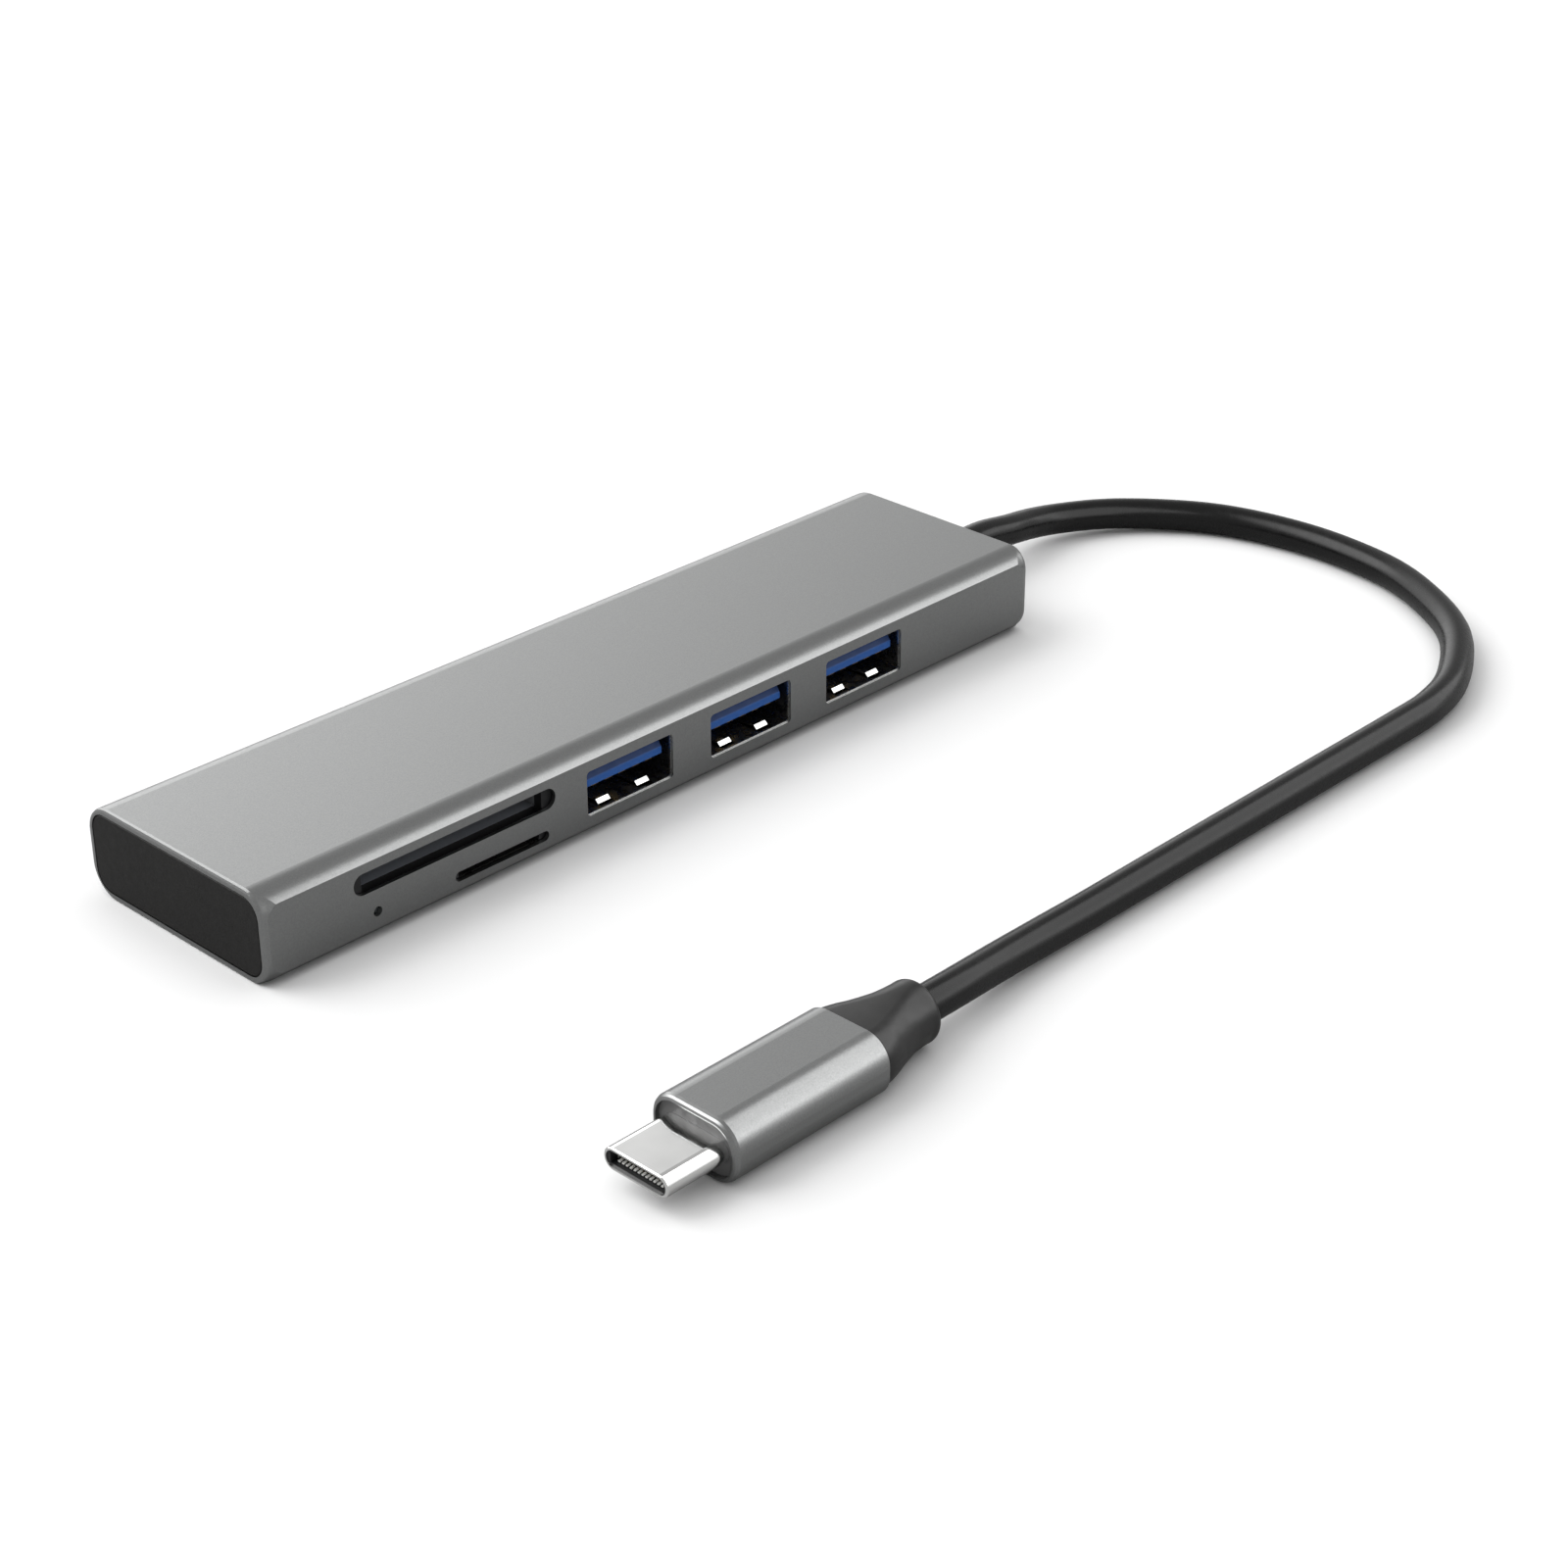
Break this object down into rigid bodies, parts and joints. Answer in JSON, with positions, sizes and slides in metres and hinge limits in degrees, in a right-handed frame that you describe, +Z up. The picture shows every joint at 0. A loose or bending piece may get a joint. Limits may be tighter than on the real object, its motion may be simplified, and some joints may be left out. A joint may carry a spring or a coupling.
{
  "type": "usb hub",
  "caption": "Slim aluminium USB hub with a row of USB-A ports, two memory card slots on one long side and a short captive cable ending in a USB-C plug.",
  "frame": {"origin": "middle of the hub body's underside, on the surface it rests on", "axes": "+X along the body towards the cable exit, ports facing -Y, +Z up"},
  "size_m": [0.1608, 0.0867, 0.0108],
  "materials": {
    "aluminium": "bead-blasted, anodised space grey",
    "cap_plastic": "fine-grained moulded plastic",
    "cable_skin": "satin jacket",
    "boot_plastic": "satin moulded plastic",
    "board": "solder mask",
    "steel": "nickel-plated sheet",
    "nickel": "polished nickel plate",
    "blue_plastic": "moulded insulator",
    "socket_plastic": "moulded insulator",
    "black_plastic": "moulded insulator",
    "contacts": "gold-plated copper alloy",
    "chip_black": "epoxy package",
    "ferrite": "ferrite",
    "capacitor": "ceramic and moulded tantalum",
    "led": "white package",
    "clear_plastic": "clear acrylic",
    "wire_skin": "insulated wire",
    "solder": "solder"
  },
  "bodies": {
    "hub": {"sleeve": "aluminium", "end_cap": "cap_plastic", "cable_cap": "cap_plastic", "cable_grommet": "cable_skin", "main_board": "board", "usb_a_shell_1": "steel", "usb_a_shell_2": "steel", "usb_a_shell_3": "steel", "usb_a_tongue_1": "blue_plastic", "usb_a_tongue_2": "blue_plastic", "usb_a_tongue_3": "blue_plastic", "usb_a_terminals_1": "contacts", "usb_a_terminals_2": "contacts", "usb_a_terminals_3": "contacts", "sd_housing": "socket_plastic", "sd_cover": "steel", "sd_terminals": "contacts", "microsd_housing": "black_plastic", "microsd_cover": "steel", "microsd_terminals": "contacts", "hub_chip": "chip_black", "reader_chip": "chip_black", "crystal": "steel", "inductor": "ferrite", "bulk_capacitors": "capacitor", "ceramic_capacitors": "capacitor", "resistors": "chip_black", "status_led": "led", "light_pipe": "clear_plastic", "cable_wires": "wire_skin", "solder_pads": "solder", "cable": "cable_skin", "plug_boot": "boot_plastic", "plug_sleeve": "aluminium", "plug_insert": "black_plastic", "plug_board": "board", "usb_c_shell": "nickel", "usb_c_insulator": "black_plastic"},
    "usb_a_contacts_1": {"usb_a_contacts_1": "contacts"},
    "usb_a_lower_latch_1": {"usb_a_lower_latch_1": "steel"},
    "usb_a_upper_latch_1": {"usb_a_upper_latch_1": "steel"},
    "usb_a_contacts_2": {"usb_a_contacts_2": "contacts"},
    "usb_a_lower_latch_2": {"usb_a_lower_latch_2": "steel"},
    "usb_a_upper_latch_2": {"usb_a_upper_latch_2": "steel"},
    "usb_a_contacts_3": {"usb_a_contacts_3": "contacts"},
    "usb_a_lower_latch_3": {"usb_a_lower_latch_3": "steel"},
    "usb_a_upper_latch_3": {"usb_a_upper_latch_3": "steel"},
    "sd_contacts": {"sd_contacts": "contacts"},
    "sd_detect_lever": {"sd_detect_lever": "steel"},
    "sd_protect_lever": {"sd_protect_lever": "steel"},
    "microsd_contacts": {"microsd_contacts": "contacts"},
    "usb_c_upper_contacts": {"usb_c_upper_contacts": "contacts"},
    "usb_c_lower_contacts": {"usb_c_lower_contacts": "contacts"},
    "usb_c_left_latch": {"usb_c_left_latch": "nickel"},
    "usb_c_right_latch": {"usb_c_right_latch": "nickel"}
  },
  "joints": [
    {"name": "usb_a_contacts_1_flex", "type": "hinge", "parent": "hub", "child": "usb_a_contacts_1", "pos_m": [-0.0085, -0.0046, 0.00588], "axis": [-1, 0, 0], "range_deg": [0, 5], "stiffness_Nm_per_rad": 0.12},
    {"name": "usb_a_lower_latch_1_flex", "type": "hinge", "parent": "hub", "child": "usb_a_lower_latch_1", "pos_m": [-0.0085, -0.0064, 0.00266], "axis": [1, 0, 0], "range_deg": [0, 4], "stiffness_Nm_per_rad": 0.3},
    {"name": "usb_a_upper_latch_1_flex", "type": "hinge", "parent": "hub", "child": "usb_a_upper_latch_1", "pos_m": [-0.0085, -0.0064, 0.00809], "axis": [-1, 0, 0], "range_deg": [0, 4], "stiffness_Nm_per_rad": 0.3},
    {"name": "usb_a_contacts_2_flex", "type": "hinge", "parent": "hub", "child": "usb_a_contacts_2", "pos_m": [0.0101, -0.0046, 0.00588], "axis": [-1, 0, 0], "range_deg": [0, 5], "stiffness_Nm_per_rad": 0.12},
    {"name": "usb_a_lower_latch_2_flex", "type": "hinge", "parent": "hub", "child": "usb_a_lower_latch_2", "pos_m": [0.0101, -0.0064, 0.00266], "axis": [1, 0, 0], "range_deg": [0, 4], "stiffness_Nm_per_rad": 0.3},
    {"name": "usb_a_upper_latch_2_flex", "type": "hinge", "parent": "hub", "child": "usb_a_upper_latch_2", "pos_m": [0.0101, -0.0064, 0.00809], "axis": [-1, 0, 0], "range_deg": [0, 4], "stiffness_Nm_per_rad": 0.3},
    {"name": "usb_a_contacts_3_flex", "type": "hinge", "parent": "hub", "child": "usb_a_contacts_3", "pos_m": [0.0287, -0.0046, 0.00588], "axis": [-1, 0, 0], "range_deg": [0, 5], "stiffness_Nm_per_rad": 0.12},
    {"name": "usb_a_lower_latch_3_flex", "type": "hinge", "parent": "hub", "child": "usb_a_lower_latch_3", "pos_m": [0.0287, -0.0064, 0.00266], "axis": [1, 0, 0], "range_deg": [0, 4], "stiffness_Nm_per_rad": 0.3},
    {"name": "usb_a_upper_latch_3_flex", "type": "hinge", "parent": "hub", "child": "usb_a_upper_latch_3", "pos_m": [0.0287, -0.0064, 0.00809], "axis": [-1, 0, 0], "range_deg": [0, 4], "stiffness_Nm_per_rad": 0.3},
    {"name": "sd_contacts_flex", "type": "hinge", "parent": "hub", "child": "sd_contacts", "pos_m": [-0.033, 0.0081, 0.00573], "axis": [1, 0, 0], "range_deg": [0, 4.5], "stiffness_Nm_per_rad": 0.28},
    {"name": "sd_detect_lever_flex", "type": "hinge", "parent": "hub", "child": "sd_detect_lever", "pos_m": [-0.04575, 0.0067, 0.00675], "axis": [0, 0, -1], "range_deg": [0, 4], "stiffness_Nm_per_rad": 0.04},
    {"name": "sd_protect_lever_flex", "type": "hinge", "parent": "hub", "child": "sd_protect_lever", "pos_m": [-0.02025, -0.0013, 0.00675], "axis": [0, 0, 1], "range_deg": [0, 4], "stiffness_Nm_per_rad": 0.04},
    {"name": "microsd_contacts_flex", "type": "hinge", "parent": "hub", "child": "microsd_contacts", "pos_m": [-0.027, -0.0026, 0.00353], "axis": [-1, 0, 0], "range_deg": [0, 3], "stiffness_Nm_per_rad": 0.3},
    {"name": "usb_c_upper_contacts_flex", "type": "hinge", "parent": "hub", "child": "usb_c_upper_contacts", "pos_m": [-0.0513, -0.0665, 0.00383], "axis": [0, 1, 0], "range_deg": [0, 1.2], "stiffness_Nm_per_rad": 0.8},
    {"name": "usb_c_lower_contacts_flex", "type": "hinge", "parent": "hub", "child": "usb_c_lower_contacts", "pos_m": [-0.0513, -0.0665, 0.00292], "axis": [0, -1, 0], "range_deg": [0, 1.2], "stiffness_Nm_per_rad": 0.8},
    {"name": "usb_c_left_latch_flex", "type": "hinge", "parent": "hub", "child": "usb_c_left_latch", "pos_m": [-0.0513, -0.06322, 0.00337], "axis": [0, 0, -1], "range_deg": [0, 2], "stiffness_Nm_per_rad": 0.3},
    {"name": "usb_c_right_latch_flex", "type": "hinge", "parent": "hub", "child": "usb_c_right_latch", "pos_m": [-0.0513, -0.06978, 0.00337], "axis": [0, 0, 1], "range_deg": [0, 2], "stiffness_Nm_per_rad": 0.3}
  ]
}
